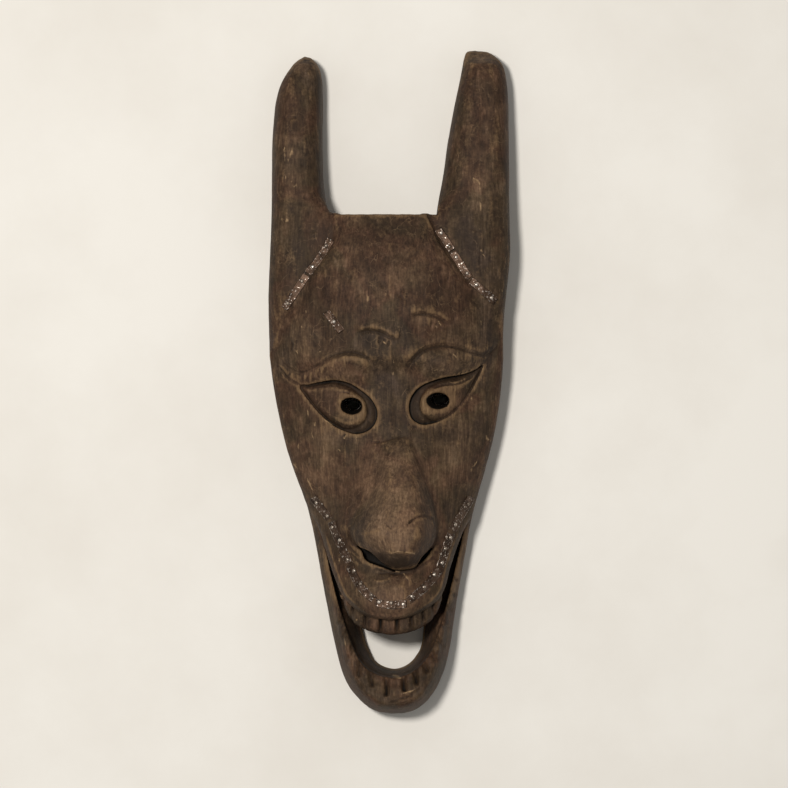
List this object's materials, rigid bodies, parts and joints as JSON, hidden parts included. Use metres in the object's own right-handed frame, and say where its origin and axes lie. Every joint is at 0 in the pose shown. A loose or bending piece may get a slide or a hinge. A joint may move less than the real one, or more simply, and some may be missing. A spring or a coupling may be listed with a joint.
{
  "type": "barong mask",
  "caption": "Tall horned demon face mask carved from one piece of dark wood, with an open toothed mouth, peep holes, a hollow back and tacked copper strips.",
  "frame": {"origin": "middle of the mask's box in X and Y, on the plane of its flat back rim", "axes": "+Z out of the face, +Y up the face to the horns, +X to the viewer's right"},
  "size_m": [0.181, 0.5, 0.1147],
  "materials": {
    "carved_wood": "satin",
    "copper_strip": "satin",
    "tack_metal": "satin"
  },
  "bodies": {
    "root": {"horn_strip_left_lower": "copper_strip", "horn_strip_left_upper": "copper_strip", "horn_strip_right_lower": "copper_strip", "horn_strip_right_middle": "copper_strip", "horn_strip_right_upper": "copper_strip", "horn_tack_left_lower_1": "tack_metal", "horn_tack_left_lower_2": "tack_metal", "horn_tack_left_upper_1": "tack_metal", "horn_tack_left_upper_2": "tack_metal", "horn_tack_right_lower_1": "tack_metal", "horn_tack_right_lower_2": "tack_metal", "horn_tack_right_middle_1": "tack_metal", "horn_tack_right_middle_2": "tack_metal", "horn_tack_right_upper_1": "tack_metal", "horn_tack_right_upper_2": "tack_metal", "lip_strip_front": "copper_strip", "lip_strip_left_lower": "copper_strip", "lip_strip_left_middle": "copper_strip", "lip_strip_left_upper": "copper_strip", "lip_strip_right_lower": "copper_strip", "lip_strip_right_middle": "copper_strip", "lip_strip_right_upper": "copper_strip", "lip_tack_front_1": "tack_metal", "lip_tack_front_2": "tack_metal", "lip_tack_front_3": "tack_metal", "lip_tack_left_lower_1": "tack_metal", "lip_tack_left_lower_2": "tack_metal", "lip_tack_left_lower_3": "tack_metal", "lip_tack_left_middle_1": "tack_metal", "lip_tack_left_middle_2": "tack_metal", "lip_tack_left_middle_3": "tack_metal", "lip_tack_left_upper_1": "tack_metal", "lip_tack_left_upper_2": "tack_metal", "lip_tack_right_lower_1": "tack_metal", "lip_tack_right_lower_2": "tack_metal", "lip_tack_right_lower_3": "tack_metal", "lip_tack_right_middle_1": "tack_metal", "lip_tack_right_middle_2": "tack_metal", "lip_tack_right_middle_3": "tack_metal", "lip_tack_right_upper_1": "tack_metal", "lip_tack_right_upper_2": "tack_metal", "mask": "carved_wood", "temple_strip": "copper_strip", "temple_tack_1": "tack_metal"}
  },
  "joints": []
}
